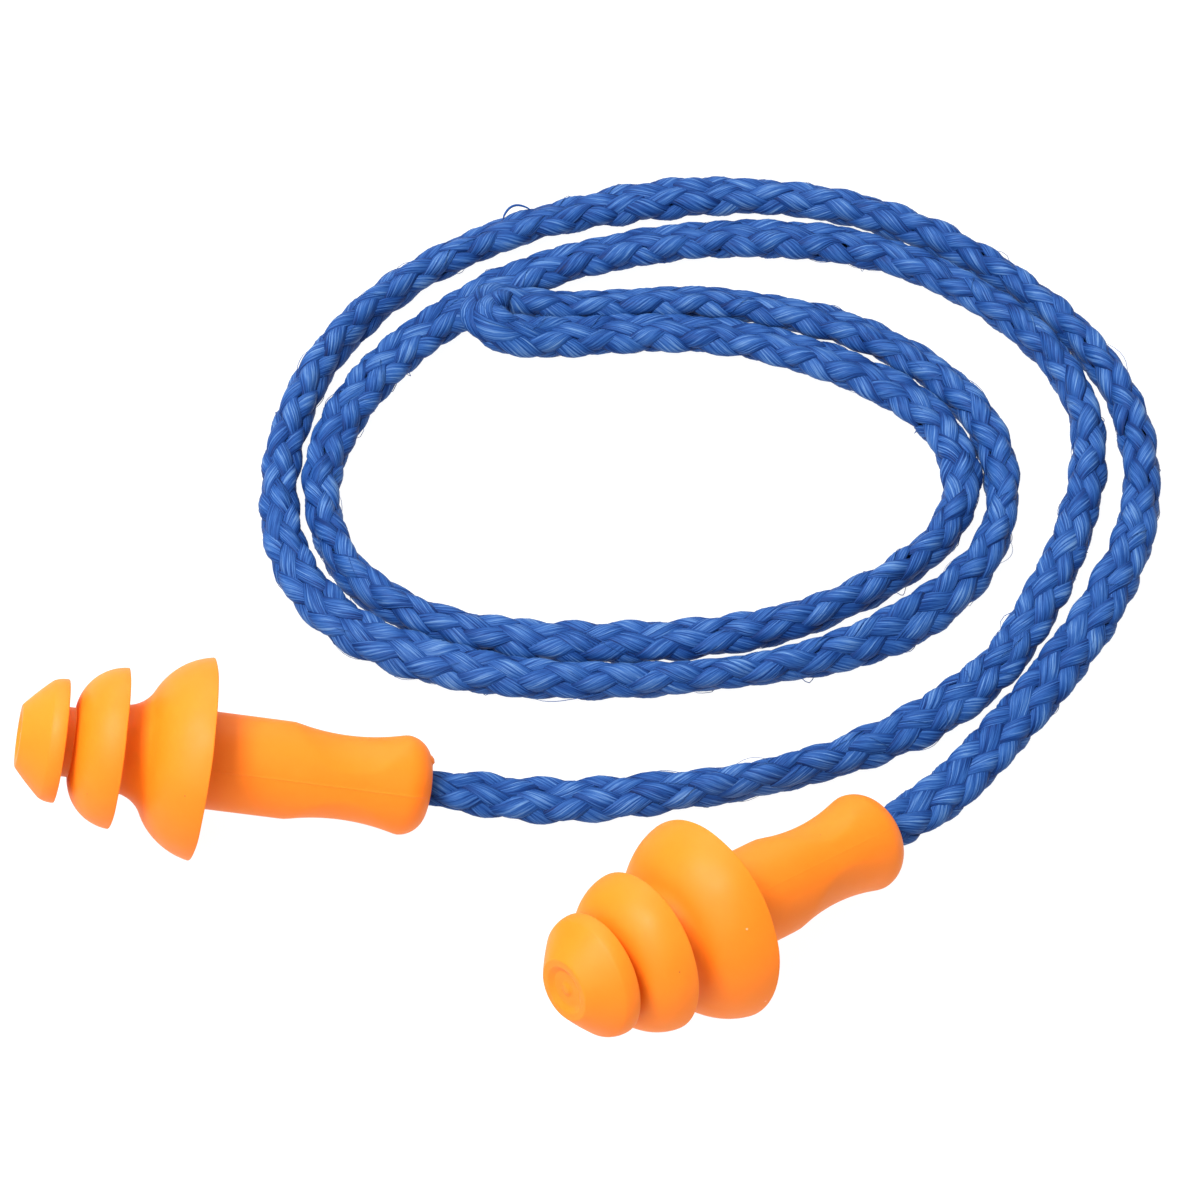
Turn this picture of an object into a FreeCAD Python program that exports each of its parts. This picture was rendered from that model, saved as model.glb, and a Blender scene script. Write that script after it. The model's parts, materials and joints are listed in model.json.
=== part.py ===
"""A pair of reusable three-flange ear plugs joined by a braided cord.

Frame, in millimetres: +Z up, the table at Z = 0, the origin under the middle of the two plugs.
Each plug is drawn upright, stem end at Z = 0 and tip up, then laid down on its largest
flange and on the bulb of its stem.  Stations are distances measured from the tip.
"""
import FreeCAD, Part
import math
import os
import Sketcher

Vector = FreeCAD.Vector

DIMENSIONS = {
    # the moulded plug: lengths from the tip, radii from its axis
    "plug_length": 25.8,
    "tip_face_radius": 1.95,
    "dish_floor_radius": 1.15,
    "dish_rim_radius": 1.5,
    "dish_depth": 0.24,
    "front_arc_radius": 20.0,
    "front_knee_radius": 3.67,
    "front_knee_station": 1.7,
    "front_knee_arc_radius": 1.7,
    "front_rim_radius": 3.86,
    "front_rim_inner": 3.29,
    "front_rim_station": 2.66,
    "front_root_station": 1.6,
    "front_core_radius": 2.17,
    "middle_start_station": 3.3,
    "middle_arc_radius": 3.1,
    "middle_rim_radius": 5.06,
    "middle_rim_inner": 4.43,
    "middle_rim_station": 6.2,
    "middle_root_station": 4.6,
    "middle_core_radius": 2.78,
    "rear_start_station": 6.5,
    "rear_neck_arc_radius": 2.1,
    "rear_knee_radius": 4.0,
    "rear_knee_station": 8.1,
    "rear_arc_radius": 4.6,
    "rear_rim_radius": 6.4,
    "rear_rim_inner": 5.75,
    "rear_rim_station": 11.4,
    "rear_root_station": 9.4,
    "stem_radius": 3.07,
    "bulb_radius": 3.15,
    "bulb_station": 24.15,
    "end_rounding": 1.65,
    "end_face_radius": 1.5,
    # the two finger recesses that make the stem's waist
    "recess_offset": 0.79,
    "recess_arc_radius": 14.0,
    "recess_outer_radius": 3.9,
    "recess_start_station": 16.8,
    "recess_end_station": 24.0,
    "recess_cutter_margin": 3.0,
    # the cord and how it is held
    "cord_radius": 1.25,
    "bore_radius": 1.4,
    "bore_depth": 9.0,
    "bond_floor": 0.3,
    "bond_length": 8.4,
    "cord_tip_radius": 0.9,
    "cord_tip_length": 0.6,
    # how the plugs lie and where they swing
    "hinge_reach": 3.5,
    "hinge_gap": 0.3,
}

# Plan position of each plug's hinge point, the heading of its tip and the roll of its
# recesses about its own axis (0 is a recess straight up), in millimetres and degrees.
PLUGS = {
    "left": {"hinge_at": (1.1, 7.3), "heading": 181.1, "roll": 42.0},
    "right": {"hinge_at": (28.75, 5.85), "heading": 218.4, "roll": 60.0},
}

# The cord's route between the two hinge points: out to the right and round, back to a
# tight fold that leans on the first turn, then beside itself to the other plug.
CORD_REST_HEIGHT = 1.3
OUTWARD_TURN = [
    (5.5, 7.2), (12.5, 7.8), (20.5, 9.4), (28.0, 12.7), (34.4, 17.5), (38.4, 24.4),
    (41.2, 31.7), (42.1, 39.1), (39.8, 45.6), (34.6, 51.2), (27.7, 55.2), (19.5, 56.2),
    (11.4, 55.3), (3.2, 52.7), (-3.9, 47.6), (-8.3, 41.6), (-10.6, 34.0), (-9.0, 26.6),
    (-3.8, 21.8), (4.0, 19.9), (12.6, 19.9), (20.6, 21.2), (27.6, 24.8), (32.2, 29.4),
    (33.4, 35.0), (30.8, 40.4), (25.0, 44.2), (18.2, 46.7), (11.8, 47.2),
]
FOLD = [
    (7.0, 46.4, 1.4), (3.3, 45.5, 1.8), (0.5, 45.4, 2.5), (-0.8, 47.5, 3.4),
    (0.6, 49.6, 3.9), (4.0, 49.9, 3.4), (9.4, 49.8, 1.9),
]
RETURN_TURN = [
    (17.3, 50.0), (25.3, 47.9), (32.4, 43.6), (36.0, 37.4), (36.0, 29.8), (31.9, 23.5),
    (24.7, 18.8), (16.4, 17.0), (7.6, 16.4), (-0.8, 17.5), (-8.8, 21.2), (-13.1, 28.2),
    (-13.3, 36.6), (-10.9, 44.4), (-6.0, 51.2), (1.2, 56.1), (9.8, 59.4), (19.0, 60.5),
    (28.0, 58.7), (35.9, 53.9), (42.1, 47.2), (45.3, 39.3), (45.0, 30.8), (41.5, 22.8),
    (37.0, 15.8), (32.1, 9.6),
]
ARC_SHARE_OF_RUN = 0.45

# A groove or pocket that removes less than this, in cubic millimetres, points the wrong way.
LEAST_CUT = 0.5
# Two points of a sketch nearer than this, in millimetres, are the same point.
SAME_POINT = 1e-4

doc = FreeCAD.newDocument("ear_plugs")


def make_sheet():
    sheet = doc.addObject("Spreadsheet::Sheet", "Dimensions")
    for row, (name, value) in enumerate(DIMENSIONS.items(), start=1):
        sheet.set(f"A{row}", name)
        sheet.set(f"B{row}", str(value))
        sheet.setAlias(f"B{row}", name)
    doc.recompute()
    return sheet


def cell(name):
    """The expression that reads one driving dimension."""
    return f"Dimensions.{name}"


def from_end(station):
    """The expression for a station's height above the stem's end face."""
    return f"Dimensions.plug_length - Dimensions.{station}"


def number(expression):
    """The value of a sum of driving dimensions and plain numbers."""
    total = 0.0
    sign = 1.0
    for word in expression.split():
        if word in "+-":
            sign = 1.0 if word == "+" else -1.0
        elif word.startswith("Dimensions."):
            total += sign * DIMENSIONS[word.split(".")[1]]
        else:
            total += sign * float(word)
    return total


def origin_plane(body, role):
    return next(item for item in body.Origin.OriginFeatures if item.Role == role)


def new_sketch(body, name, plane, offset=None):
    sketch = body.newObject("Sketcher::SketchObject", name)
    sketch.AttachmentSupport = (origin_plane(body, plane), [""])
    sketch.MapMode = "FlatFace"
    if offset is not None:
        sketch.AttachmentOffset = FreeCAD.Placement(offset, FreeCAD.Rotation())
    return sketch


def arc_between(start, end, radius, bulge):
    """The arc of a radius from start to end; bulge is 1 or -1, the side it bows to."""
    chord = end - start
    across = Vector(-chord.y, chord.x, 0).normalize()
    rise = radius - math.sqrt(radius ** 2 - (chord.Length / 2) ** 2)
    middle = (start + end) * 0.5 + across * (bulge * rise)
    return Part.Arc(start, middle, end)


def arc_start_position(sketch, index, point):
    """1 or 2: which end of an arc lies on the point, since arcs run anticlockwise."""
    return 1 if sketch.getPoint(index, 1).distanceToPoint(point) < SAME_POINT else 2


def draw_outline(sketch, corners):
    """Draw a closed outline with every corner bound to the sheet.

    Each corner is (x expression, y expression, arc expression or None, bulge): the
    last two describe the edge from this corner to the next.
    """
    points = [Vector(number(x), number(y), 0) for x, y, _, _ in corners]
    starts = []
    for index, (_, _, radius, bulge) in enumerate(corners):
        start = points[index]
        end = points[(index + 1) % len(points)]
        if radius is None:
            geometry = sketch.addGeometry(Part.LineSegment(start, end), False)
            starts.append((geometry, 1))
        else:
            geometry = sketch.addGeometry(arc_between(start, end, number(radius), bulge), False)
            starts.append((geometry, arc_start_position(sketch, geometry, start)))
    for index, (x, y, radius, _) in enumerate(corners):
        geometry, place = starts[index]
        following, next_place = starts[(index + 1) % len(corners)]
        sketch.addConstraint(
            Sketcher.Constraint("Coincident", geometry, 3 - place, following, next_place))
        bind_distance(sketch, "DistanceX", geometry, place, x)
        bind_distance(sketch, "DistanceY", geometry, place, y)
        if radius is not None:
            rule = sketch.addConstraint(Sketcher.Constraint("Radius", geometry, number(radius)))
            sketch.setExpression(f"Constraints[{rule}]", radius)


def bind_distance(sketch, kind, geometry, place, expression):
    """Hold one coordinate of a point; a zero puts the point on the sketch's own axis."""
    value = number(expression)
    if abs(value) < SAME_POINT:
        axis = -2 if kind == "DistanceX" else -1
        sketch.addConstraint(Sketcher.Constraint("PointOnObject", geometry, place, axis))
        return
    rule = sketch.addConstraint(Sketcher.Constraint(kind, -1, 1, geometry, place, value))
    sketch.setExpression(f"Constraints[{rule}]", expression)


def plug_outline():
    """Half of the plug's section, from the tip's centre round to the stem's end."""
    return [
        ("0", from_end("dish_depth"), None, 0),
        (cell("dish_floor_radius"), from_end("dish_depth"), None, 0),
        (cell("dish_rim_radius"), cell("plug_length"), None, 0),
        (cell("tip_face_radius"), cell("plug_length"), cell("front_arc_radius"), 1),
        (cell("front_knee_radius"), from_end("front_knee_station"),
         cell("front_knee_arc_radius"), 1),
        (cell("front_rim_radius"), from_end("front_rim_station"), None, 0),
        (cell("front_rim_inner"), from_end("front_rim_station"), None, 0),
        (cell("front_core_radius"), from_end("front_root_station"), None, 0),
        (cell("front_core_radius"), from_end("middle_start_station"),
         cell("middle_arc_radius"), 1),
        (cell("middle_rim_radius"), from_end("middle_rim_station"), None, 0),
        (cell("middle_rim_inner"), from_end("middle_rim_station"), None, 0),
        (cell("middle_core_radius"), from_end("middle_root_station"), None, 0),
        (cell("middle_core_radius"), from_end("rear_start_station"),
         cell("rear_neck_arc_radius"), -1),
        (cell("rear_knee_radius"), from_end("rear_knee_station"), cell("rear_arc_radius"), 1),
        (cell("rear_rim_radius"), from_end("rear_rim_station"), None, 0),
        (cell("rear_rim_inner"), from_end("rear_rim_station"), None, 0),
        (cell("stem_radius"), from_end("rear_root_station"), None, 0),
        (cell("stem_radius"), from_end("recess_start_station"), None, 0),
        (cell("bulb_radius"), from_end("bulb_station"), cell("end_rounding"), 1),
        (cell("end_face_radius"), "0", None, 0),
        ("0", "0", None, 0),
    ]


def recess_outline():
    """Section of the ring that is cut away, drawn from the recess's own axis."""
    outside = f"{cell('recess_outer_radius')} + {cell('recess_cutter_margin')}"
    return [
        (cell("recess_outer_radius"), from_end("recess_start_station"), None, 0),
        (outside, from_end("recess_start_station"), None, 0),
        (outside, from_end("recess_end_station"), None, 0),
        (cell("recess_outer_radius"), from_end("recess_end_station"),
         cell("recess_arc_radius"), 1),
    ]


def add_recess(body, side):
    """Cut one finger recess: a ring about an axis that lies past the stem's own."""
    name = "near" if side > 0 else "far"
    offset = Vector(-side * DIMENSIONS["recess_offset"], 0, 0)
    sketch = new_sketch(body, f"{name}_recess_section", "XZ_Plane", offset)
    draw_outline(sketch, recess_outline())
    doc.recompute()
    before = body.Shape.Volume
    groove = body.newObject("PartDesign::Groove", f"{name}_recess")
    groove.Profile = sketch
    groove.ReferenceAxis = (sketch, ["V_Axis"])
    groove.Angle = 360.0
    doc.recompute()
    check_cut(groove.Name, before, body.Shape.Volume)


def add_bore(body):
    """Cut the blind hole in the stem's end that takes the cord."""
    sketch = new_sketch(body, "bore_section", "XY_Plane")
    sketch.addGeometry(Part.Circle(Vector(0, 0, 0), Vector(0, 0, 1), DIMENSIONS["bore_radius"]), False)
    sketch.addConstraint(Sketcher.Constraint("Coincident", 0, 3, -1, 1))
    rule = sketch.addConstraint(Sketcher.Constraint("Radius", 0, DIMENSIONS["bore_radius"]))
    sketch.setExpression(f"Constraints[{rule}]", cell("bore_radius"))
    doc.recompute()
    before = body.Shape.Volume
    bore = body.newObject("PartDesign::Pocket", "cord_bore")
    bore.Profile = sketch
    bore.Length = DIMENSIONS["bore_depth"]
    bore.setExpression("Length", cell("bore_depth"))
    bore.Reversed = True
    doc.recompute()
    check_cut(bore.Name, before, body.Shape.Volume)


def check_cut(name, before, after):
    if after > before - LEAST_CUT:
        raise RuntimeError(f"{name} removes too little: {before:.2f} to {after:.2f} mm3")


def make_plug(side):
    body = doc.addObject("PartDesign::Body", f"{side}_plug")
    sketch = new_sketch(body, f"{side}_section", "XZ_Plane")
    draw_outline(sketch, plug_outline())
    moulding = body.newObject("PartDesign::Revolution", f"{side}_moulding")
    moulding.Profile = sketch
    moulding.ReferenceAxis = (sketch, ["V_Axis"])
    moulding.Angle = 360.0
    doc.recompute()
    add_recess(body, 1)
    add_recess(body, -1)
    add_bore(body)
    return body


def make_cylinder(name, radius, height, base):
    """An upright cylinder on the stem's axis; the three sizes are sheet expressions."""
    cylinder = doc.addObject("Part::Cylinder", name)
    cylinder.setExpression("Radius", radius)
    cylinder.setExpression("Height", height)
    cylinder.setExpression("Placement.Base.z", base)
    return cylinder


def make_bond(side):
    """The adhesive that fills the bore round the cord and under its end."""
    top = cell("bore_depth")
    outer = make_cylinder(f"{side}_bond_outside", cell("bore_radius"), cell("bond_length"),
                          f"{top} - {cell('bond_length')}")
    inner = make_cylinder(f"{side}_bond_inside", cell("cord_radius"), cell("bond_length"),
                          f"{top} - {cell('bond_length')} - {cell('bond_floor')} "
                          f"- {cell('cord_tip_length')}")
    tip = make_cord_tip(f"{side}_bond_tip_space")
    space = doc.addObject("Part::Fuse", f"{side}_bond_space")
    space.Base = inner
    space.Tool = tip
    bond = doc.addObject("Part::Cut", f"{side}_cord_bond")
    bond.Base = outer
    bond.Tool = space
    return bond


def make_cord_tip(name):
    """The cord's cut end, melted to a short blunt cone so that it can't fray."""
    tip = doc.addObject("Part::Cone", name)
    tip.setExpression("Radius1", cell("cord_radius"))
    tip.setExpression("Radius2", cell("cord_tip_radius"))
    tip.setExpression("Height", cell("cord_tip_length"))
    tip.setExpression("Placement.Base.z", f"{cell('bore_depth')} - {cell('bond_floor')} "
                                          f"- {cell('cord_tip_length')}")
    return tip


def make_cord_end(side):
    """The cord inside the stem, out to just short of the hinge point."""
    out = f"{cell('hinge_reach')} - {cell('cord_radius')} - {cell('hinge_gap')}"
    inside = f"{cell('bore_depth')} - {cell('bond_floor')} - {cell('cord_tip_length')}"
    straight = make_cylinder(f"{side}_cord_straight", cell("cord_radius"), f"{inside} + {out}",
                             f"0 - ({out})")
    tip = make_cord_tip(f"{side}_cord_tip")
    end = doc.addObject("Part::Fuse", f"{side}_cord_end")
    end.Base = straight
    end.Tool = tip
    return end


def resting_tilt():
    """The slope of the plug's axis when its rear rim and its rounded bulb touch the table."""
    rise = DIMENSIONS["rear_rim_radius"] - DIMENSIONS["end_face_radius"]
    span = DIMENSIONS["bulb_station"] - DIMENSIONS["rear_rim_station"]
    return math.acos(DIMENSIONS["end_rounding"] / math.hypot(rise, span)) - math.atan2(span, rise)


def tip_direction(side):
    heading = math.radians(PLUGS[side]["heading"])
    tilt = resting_tilt()
    return Vector(math.cos(tilt) * math.cos(heading), math.cos(tilt) * math.sin(heading),
                  math.sin(tilt))


def hinge_point(side):
    """On the stem's axis, a short way out of its end, where the cord bends."""
    tilt = resting_tilt()
    rim_to_hinge = (DIMENSIONS["plug_length"] - DIMENSIONS["rear_rim_station"]
                    + DIMENSIONS["hinge_reach"])
    height = DIMENSIONS["rear_rim_radius"] * math.cos(tilt) - rim_to_hinge * math.sin(tilt)
    x, y = PLUGS[side]["hinge_at"]
    return Vector(x, y, height)


def plug_placement(side):
    """Lay a plug down: its +Z points to the tip, its +X out of one recess."""
    along = tip_direction(side)
    upward = (Vector(0, 0, 1) - along * along.z).normalize()
    rotation = FreeCAD.Rotation(upward, along.cross(upward), along, "ZXY")
    roll = FreeCAD.Rotation(Vector(0, 0, 1), PLUGS[side]["roll"])
    stem_end = hinge_point(side) + along * DIMENSIONS["hinge_reach"]
    return FreeCAD.Placement(stem_end, rotation.multiply(roll))


def cord_route():
    flat = [Vector(x, y, CORD_REST_HEIGHT) for x, y in OUTWARD_TURN]
    fold = [Vector(*point) for point in FOLD]
    back = [Vector(x, y, CORD_REST_HEIGHT) for x, y in RETURN_TURN]
    return [hinge_point("left")] + flat + fold + back + [hinge_point("right")]


def rounded_path(points):
    """Straight runs joined by tangent arcs, each as large as its two runs allow."""
    edges = []
    radii = []
    at = points[0]
    for before, corner, after in zip(points, points[1:], points[2:]):
        inward = corner - before
        outward = after - corner
        turn = inward.getAngle(outward)
        reach = ARC_SHARE_OF_RUN * min(inward.Length, outward.Length)
        radius = reach / math.tan(turn / 2)
        inward.normalize()
        outward.normalize()
        start = corner - inward * reach
        end = corner + outward * reach
        to_centre = (outward - inward).normalize()
        middle = corner + to_centre * (math.hypot(radius, reach) - radius)
        edges.append(Part.LineSegment(at, start).toShape())
        edges.append(Part.Arc(start, middle, end).toShape())
        radii.append(radius)
        at = end
    edges.append(Part.LineSegment(at, points[-1]).toShape())
    return Part.Wire(edges), radii


def make_cord():
    """The free cord: one plain tube with a rounded end at each hinge point."""
    radius = DIMENSIONS["cord_radius"]
    points = cord_route()
    path, radii = rounded_path(points)
    first = (points[1] - points[0]).normalize()
    last = (points[-1] - points[-2]).normalize()
    section = Part.Wire([Part.Circle(points[0], first, radius).toShape()])
    tube = path.makePipeShell([section], True, False)
    section_area = math.pi * radius ** 2
    print(f"cord: {len(points)} points, path {path.Length:.1f} mm, "
          f"tube {tube.Volume:.1f} mm3, section x length {section_area * path.Length:.1f} mm3")
    print("cord bend radii, mm:", " ".join(f"{value:.1f}" for value in radii))
    start_cap = Part.makeSphere(radius, points[0], first * -1, 0, 90, 360)
    end_cap = Part.makeSphere(radius, points[-1], last, 0, 90, 360)
    cord = doc.addObject("Part::Feature", "cord")
    cord.Shape = tube.fuse([start_cap, end_cap]).removeSplitter()
    return cord


def check_document():
    for item in doc.Objects:
        if "Invalid" in item.State or "Error" in item.State:
            raise RuntimeError(f"{item.Name} failed: {item.State}")


def export(item):
    if item.Shape.isNull() or not item.Shape.isValid():
        raise RuntimeError(f"{item.Label} has a bad shape")
    item.Shape.exportStep(f"parts/{item.Label}.step")
    box = item.Shape.BoundBox
    print(f"{item.Label}: {len(item.Shape.Solids)} solid, {item.Shape.Volume:.1f} mm3, "
          f"x {box.XMin:.2f} {box.XMax:.2f}, y {box.YMin:.2f} {box.YMax:.2f}, "
          f"z {box.ZMin:.2f} {box.ZMax:.2f}")


def main():
    make_sheet()
    pieces = [make_cord()]
    for side in PLUGS:
        group = [make_plug(side), make_bond(side), make_cord_end(side)]
        for piece in group:
            piece.Placement = plug_placement(side)
        pieces.extend(group)
        print(f"{side} hinge point {tuple(round(value, 3) for value in hinge_point(side))}, "
              f"tip direction {tuple(round(value, 4) for value in tip_direction(side))}")
    doc.recompute()
    check_document()
    os.makedirs("parts", exist_ok=True)
    for piece in pieces:
        export(piece)


main()
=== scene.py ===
"""The looks of a pair of reusable ear plugs on a braided cord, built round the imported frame.

Everything is in metres in the frame's own axes: +Z up, the table at Z = 0, the origin
under the middle of the two plugs.  Outlines and routes are written in millimetres.
"""
import json
import math

import bpy
import numpy as np
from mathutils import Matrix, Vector


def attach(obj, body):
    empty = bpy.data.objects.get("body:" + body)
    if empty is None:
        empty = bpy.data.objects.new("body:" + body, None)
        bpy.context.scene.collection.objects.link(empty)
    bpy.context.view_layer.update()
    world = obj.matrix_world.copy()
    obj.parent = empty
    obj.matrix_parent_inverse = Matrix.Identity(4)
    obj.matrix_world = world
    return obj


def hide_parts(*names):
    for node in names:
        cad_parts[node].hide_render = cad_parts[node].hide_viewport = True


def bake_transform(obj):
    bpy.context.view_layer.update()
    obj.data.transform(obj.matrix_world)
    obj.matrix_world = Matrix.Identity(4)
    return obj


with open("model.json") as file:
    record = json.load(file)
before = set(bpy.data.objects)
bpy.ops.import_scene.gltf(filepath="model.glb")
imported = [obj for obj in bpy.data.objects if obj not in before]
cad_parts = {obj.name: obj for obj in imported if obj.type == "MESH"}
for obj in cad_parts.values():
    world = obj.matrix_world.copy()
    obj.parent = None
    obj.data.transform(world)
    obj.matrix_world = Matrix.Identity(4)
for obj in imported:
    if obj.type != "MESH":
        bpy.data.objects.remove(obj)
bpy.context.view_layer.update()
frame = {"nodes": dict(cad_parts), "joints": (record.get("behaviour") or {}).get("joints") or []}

MM = 0.001
SIDES = ("left", "right")

# The view: a long lens from above the plugs, with the coil behind them.
VIEW_TARGET = Vector((8.6, 24.4, 0.0)) * MM
VIEW_DISTANCE = 265 * MM
VIEW_ELEVATION = math.radians(52)
LENS_MM = 120
SENSOR_MM = 36
CLIP_START = 10 * MM

# The stage: a white floor just under the table's height, and soft lights as
# (name, place in metres, size, power).
FLOOR_HALF_SIZE, FLOOR_DROP = 0.9, 0.00002
WORLD_STRENGTH = 0.62
LIGHTS = (
    ("key", (-0.17, -0.02, 0.42), 0.15, 2.5),
    ("front", (-0.2, -0.3, 0.34), 0.35, 0.9),
    ("back", (-0.06, 0.36, 0.34), 0.35, 1.3),
)

# The plug's outline as (station from the tip, radius), in millimetres, then the radius
# and side of the arc that leads to the next corner, or None for a straight edge.
TIP = [
    (0.1, 0.0, None, 0), (0.1, 0.25, None, 0), (0.24, 0.48, None, 0),
    (0.24, 1.15, None, 0), (0.0, 1.5, None, 0),
]
FLANGES = [
    (0.0, 1.95, 20.0, 1), (1.7, 3.67, 1.7, 1), (2.66, 3.86, None, 0), (2.66, 3.29, None, 0),
    (1.6, 2.17, None, 0), (3.3, 2.17, 3.1, 1), (6.2, 5.06, None, 0),
    (6.2, 4.43, None, 0), (4.6, 2.78, None, 0), (6.5, 2.78, 2.1, -1), (8.1, 4.0, 4.6, 1),
    (11.4, 6.4, None, 0), (11.4, 5.75, None, 0), (9.4, 3.07, None, 0),
]
STEM = [
    (16.8, 3.07, None, 0), (24.15, 3.15, 1.65, 1), (25.8, 1.5, None, 0),
    (25.8, 1.3, None, 0), (25.4, 1.18, None, 0), (24.9, 1.42, None, 0),
    (16.75, 1.42, None, 0), (16.75, 0.0, None, 0),
]
PLUG_LENGTH = 25.8
REAR_RIM = (11.4, 6.4)
BULB_STATION, END_ROUNDING, END_FACE_RADIUS = 24.15, 1.65, 1.5
HINGE_REACH = 3.5
FLANGES_END, STEM_START = 12.0, 13.0

# The two finger recesses that make the stem's waist, and their roll about the axis.
RECESS_OFFSET, RECESS_ARC_RADIUS, RECESS_OUTER_RADIUS = 0.79, 14.0, 3.9
RECESS_STATIONS = (16.8, 24.0)
RECESS_RUN_OUT, RECESS_LIMIT = 2.0, 25.0
RECESS_BLEND = 0.05
RECESS_ROLL = {"left": math.radians(42), "right": math.radians(60)}

# What the mould leaves: a fine line along each side of the stem, and on the left plug
# a tab of flash and a small nick at the stem's end.  Angles are from the recess's middle.
PARTING_HEIGHT = {"left": 0.032, "right": 0.006}
PARTING_WIDTH, PARTING_END = 0.06, 25.2
FLASH_ANGLE, FLASH_RADIUS, FLASH_START = math.radians(338), 2.15, 25.1
FLASH_HALF_LENGTH, FLASH_THICKNESS, FLASH_HEIGHT = 0.33, 0.16, 0.16
NICK_ANGLE, NICK_STATION, NICK_DEPTH = math.radians(207), 24.9, 0.13
NICK_HALF_WIDTH, NICK_HALF_LENGTH = 0.3, 0.16

# Thin rims are never quite true: how far they wander, and the radius where that starts.
RIM_WAVE_ALONG, RIM_WAVE_OUT = 0.03, 0.022
RIM_WAVE_START, RIM_WAVE_GROWTH = 3.3, 2.5
RIM_WAVE_PHASE = {"left": 0.0, "right": 2.1}

# The cord's route between the hinge points, in millimetres: points listed close to
# the frame's tube.
REST_HEIGHT = 1.2
OUTWARD_TURN = [
    (5.5, 7.2), (12.5, 7.8), (20.5, 9.3), (28.0, 12.4), (34.4, 17.3), (38.3, 24.4),
    (41.2, 31.7), (42.2, 39.1), (39.8, 45.6), (34.6, 51.2), (27.7, 55.2), (19.5, 56.2),
    (11.4, 55.3), (3.3, 52.6), (-3.6, 47.3), (-8.2, 41.5), (-10.65, 34.0), (-9.0, 26.6),
    (-3.8, 21.8), (4.0, 19.9), (12.6, 19.9), (20.6, 21.2), (27.6, 24.8), (32.2, 29.4),
    (33.4, 35.0), (30.8, 40.4), (25.0, 44.2), (18.2, 46.7), (11.8, 47.2),
]
FOLD = [
    (7.0, 46.3, 1.5), (3.1, 45.5, 2.5), (1.6, 45.5, 3.05), (0.55, 46.6, 3.25),
    (0.55, 48.15, 2.95), (1.6, 49.25, 2.4), (3.1, 49.3, 1.85), (6.8, 49.2, 1.35),
    (11.6, 49.85, 1.2),
]
RETURN_TURN = [
    (17.3, 50.0), (25.3, 47.9), (32.15, 43.4), (35.65, 37.2), (35.75, 29.8), (31.9, 23.5),
    (24.7, 19.0), (16.4, 17.25), (7.6, 16.65), (-0.8, 17.6), (-8.8, 21.2), (-12.9, 28.3),
    (-13.1, 36.6), (-10.9, 44.4), (-6.0, 51.3), (1.1, 56.4), (9.8, 59.4), (19.0, 60.5),
    (28.0, 58.7), (35.8, 53.8), (42.0, 47.0), (45.3, 39.3), (45.1, 30.8), (41.7, 22.7),
    (36.85, 15.5), (32.1, 9.4),
]
RIGHT_BEND = (28.7, 5.85, 1.8)

# The braid: four strands of each lay, in millimetres.
LAY_STRANDS = 4
STRANDS = 2 * LAY_STRANDS
CORD_INSIDE_STEM = 8.4
BRAID_WIDTH = 2.52
BRAID_PITCH = 14.4
BRAID_RADIUS = 0.94
BRAID_WEAVE = 0.17
WEAVE_BY_STRAND, WEAVE_BY_EDGE = 0.6, 0.4
STRAND_HALF_WIDTH = 0.7
STRAND_SPREAD = 0.08
STRAND_DOME = 0.21
STRAND_UNDERSIDE = 0.08
STRAND_RIDGES = 5
RIDGE_HEIGHT = 0.011
COARSE_RIDGES, COARSE_RIDGE_SHARE, COARSE_RIDGE_DRIFT = 3, 0.6, 1.4
# Painted light and shade on the braid: how much comes from a strand passing over the others, and
# how much from the crown of its section.
PAINTED_LIGHT_BY_HEIGHT, PAINTED_LIGHT_BY_DOME = 0.45, 0.55
RING_STEP = 0.36
TOP_POINTS, UNDER_POINTS = 15, 5
RING_POINTS = TOP_POINTS + UNDER_POINTS
END_PIECE_REACH = 7.5
JOIN_RINGS, JOIN_SHRINK = 2, 0.08

# The bore grips the cord, which swells to its full size a few millimetres out.
GRIPPED_SIZE, GRIP_DEPTH, SWELL_LENGTH = 0.84, 0.6, 3.2

# How the braid varies along itself: each variation's spacing in millimetres, and its size.
BRAID_SEED = 11
TWIST_WANDER, TURN_WANDER = (17, 0.3), (22, 0.25)
FLATNESS_WANDER, FULLNESS_WANDER = (6, 0.03), (7, 0.03)
ANGLE_WANDER, WIDTH_WANDER, LIFT_WANDER = (5, 0.08), (2.6, 0.05), (3.1, 0.03)
RIDGE_WANDER, DOME_WANDER = (6, 0.9), (3.7, 0.02)

# The soft braid flattens, turns onto its edge and flattens again.  Distances along it.
LIES_FLAT = (8, 36, 92, 126, 162, 200, 228, 258, 290, 330, 376, 450)
ON_EDGE = (22, 68, 140, 182, 276, 303, 354, 412)
FLAT_WIDTH, EDGE_WIDTH = 3.1, 2.25
FLATTENING = 1.25

# Fine filaments that have worked loose.  Each starts between the end pieces, this far
# clear of them.  The strand number only chooses their streaks, and their painted light colours
# them as lit yarn on top.
LOOSE_FILAMENTS = 420
FILAMENT_SEED = 29
FILAMENT_SIDES = 4
FILAMENT_RINGS = (5, 12)
FILAMENT_RADIUS = (0.016, 0.03)
FILAMENT_TIP_SIZE, FILAMENT_TAPER = 0.35, 0.4
FILAMENT_CLEARANCE = 0.01
FREE_BEFORE, FREE_AFTER = 1, 6
LYING_SHARE, LYING_LIFT, STANDING_LIFT = 0.85, (0.02, 0.1), (0.15, 0.4)
FILAMENT_STRAND, FILAMENT_PAINTED_LIGHT = 3.0, 0.95

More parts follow.
